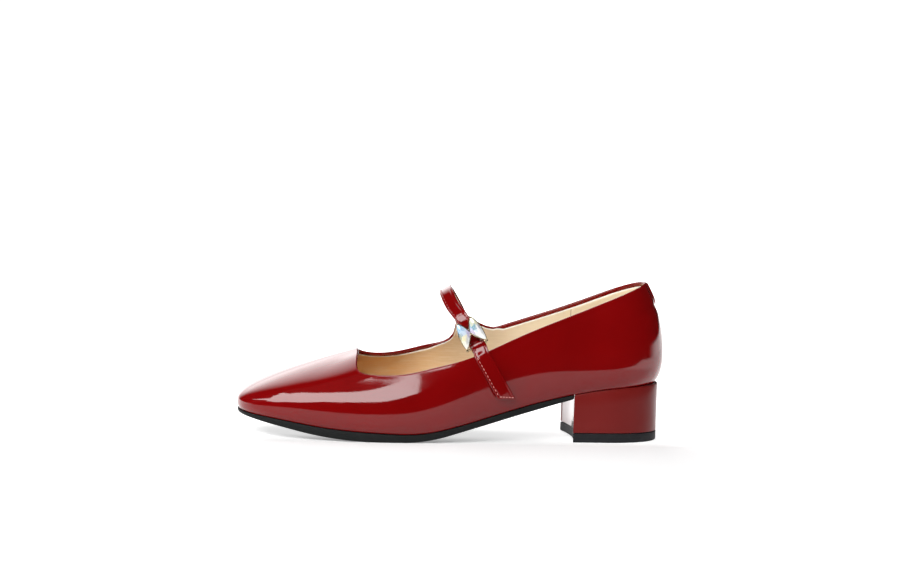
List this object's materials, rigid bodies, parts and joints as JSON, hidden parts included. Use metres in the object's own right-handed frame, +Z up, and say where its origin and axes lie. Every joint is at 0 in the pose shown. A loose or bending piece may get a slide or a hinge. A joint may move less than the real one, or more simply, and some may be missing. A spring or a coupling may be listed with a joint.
{
  "type": "mary jane shoe",
  "caption": "Low block-heeled pump with a soft square toe, an instep strap and a crystal bow, worn on the left foot.",
  "frame": {"origin": "middle of the shoe's box in plan, at ground height", "axes": "+X runs along the shoe from the toe to the heel, +Y from the outer (lateral) side to the inner (medial) side, +Z up"},
  "size_m": [0.2518, 0.0838, 0.0934],
  "materials": {
    "red_patent": "deep red patent leather, mirror gloss",
    "heel_wrap": "red leather wrap over the heel, gloss",
    "tan_lining": "tan grained lining, satin",
    "black_rubber": "near-black rubber, satin",
    "pale_gold": "pale gold plated setting",
    "crystal": "clear faceted crystal with a coloured sheen",
    "stitching": "red sewing thread"
  },
  "bodies": {
    "root": {"upper": "red_patent", "outsole": "black_rubber", "insole": "tan_lining", "heel_block": "heel_wrap", "heel_top_piece": "black_rubber", "instep_strap": "red_patent", "buckle_strap": "red_patent", "bow_setting": "pale_gold", "crystal_heel_side": "crystal", "crystal_toe_side": "crystal"}
  },
  "joints": []
}
